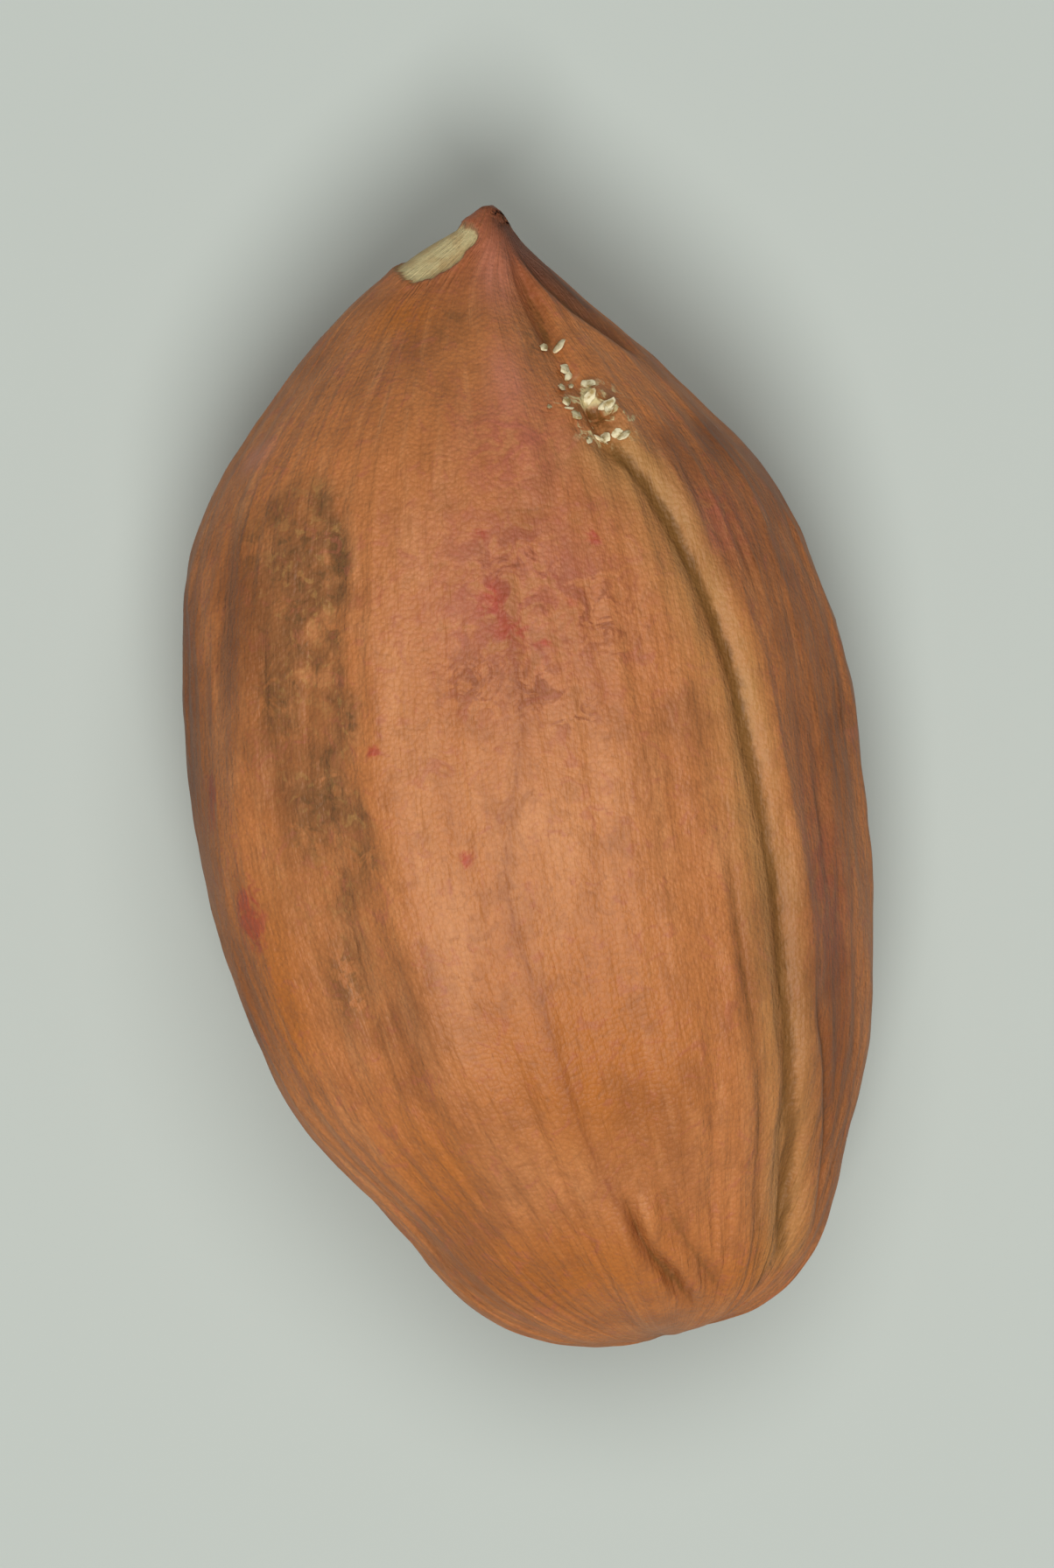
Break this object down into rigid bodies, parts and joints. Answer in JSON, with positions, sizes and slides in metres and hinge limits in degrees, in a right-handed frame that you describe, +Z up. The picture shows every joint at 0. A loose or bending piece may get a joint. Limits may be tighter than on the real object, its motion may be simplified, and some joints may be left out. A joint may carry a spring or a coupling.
{
  "type": "peanut kernel",
  "caption": "Shelled peanut kernel in its papery red-brown skin, egg-shaped with a pointed beak, a scar and one seam furrow, lying on its side.",
  "frame": {"origin": "on the resting surface, under the middle of the kernel's box", "axes": "+Y along the kernel's length towards the pointed beak, +Z up from the resting surface, +X towards the side that the seam is nearer to"},
  "size_m": [0.0088, 0.015, 0.008],
  "materials": {
    "skin": "dry satin papery seed skin, salmon to red-brown with darker veins"
  },
  "bodies": {
    "root": {"kernel": "skin"}
  },
  "joints": []
}
